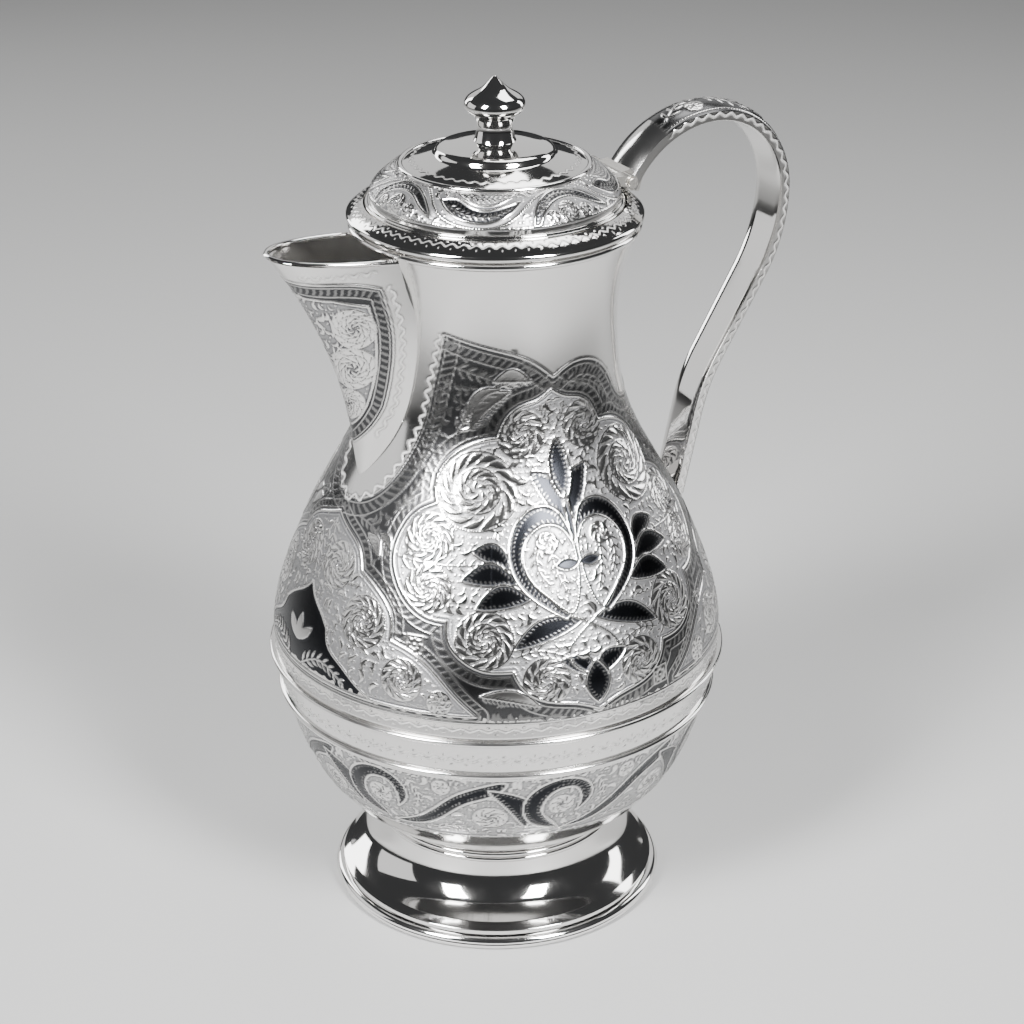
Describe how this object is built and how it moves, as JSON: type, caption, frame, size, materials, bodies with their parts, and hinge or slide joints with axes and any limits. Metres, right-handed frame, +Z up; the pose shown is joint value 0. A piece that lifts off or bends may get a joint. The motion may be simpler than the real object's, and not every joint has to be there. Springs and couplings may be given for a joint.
{
  "type": "lidded water pitcher",
  "caption": "Engraved and nielloed silver water pitcher with a pear-shaped body, open V spout, looped strap handle, hinged domed lid and flared foot.",
  "frame": {"origin": "on the body's axis, in the plane that the foot stands on", "axes": "+Z up along the body's axis, -X along the spout, +X towards the handle, +Y across"},
  "size_m": [0.1937, 0.1562, 0.289],
  "materials": {
    "engraved_silver": "hand-engraved silver with black niello grounds",
    "polished_silver": "mirror-polished silver",
    "silver_wire": "polished silver wire",
    "inner_silver": "satin silver, less polished"
  },
  "bodies": {
    "pitcher": {"upper_body": "engraved_silver", "lower_bowl": "engraved_silver", "spout": "engraved_silver", "handle_shell": "engraved_silver", "belly_band": "engraved_silver", "foot": "polished_silver", "foot_collar": "polished_silver", "handle_strap": "polished_silver", "hinge_seat": "polished_silver", "handle_pad": "polished_silver", "foot_edge_wire": "silver_wire", "neck_lip_wire": "silver_wire", "spout_rim_wire": "silver_wire", "hinge_lug": "inner_silver", "hinge_pin": "inner_silver"},
    "lid": {"lid_flange": "polished_silver", "lid_bezel": "inner_silver", "lid_dome": "engraved_silver", "lid_cap": "polished_silver", "cap_wire": "silver_wire", "finial": "polished_silver", "finial_stud": "inner_silver", "finial_nut": "inner_silver", "lid_knuckles": "inner_silver"}
  },
  "joints": [
    {"name": "lid_hinge", "type": "hinge", "parent": "pitcher", "child": "lid", "pos_m": [0.0436, 0, 0.2508], "axis": [0, 1, 0], "range_deg": [0, 82]}
  ]
}
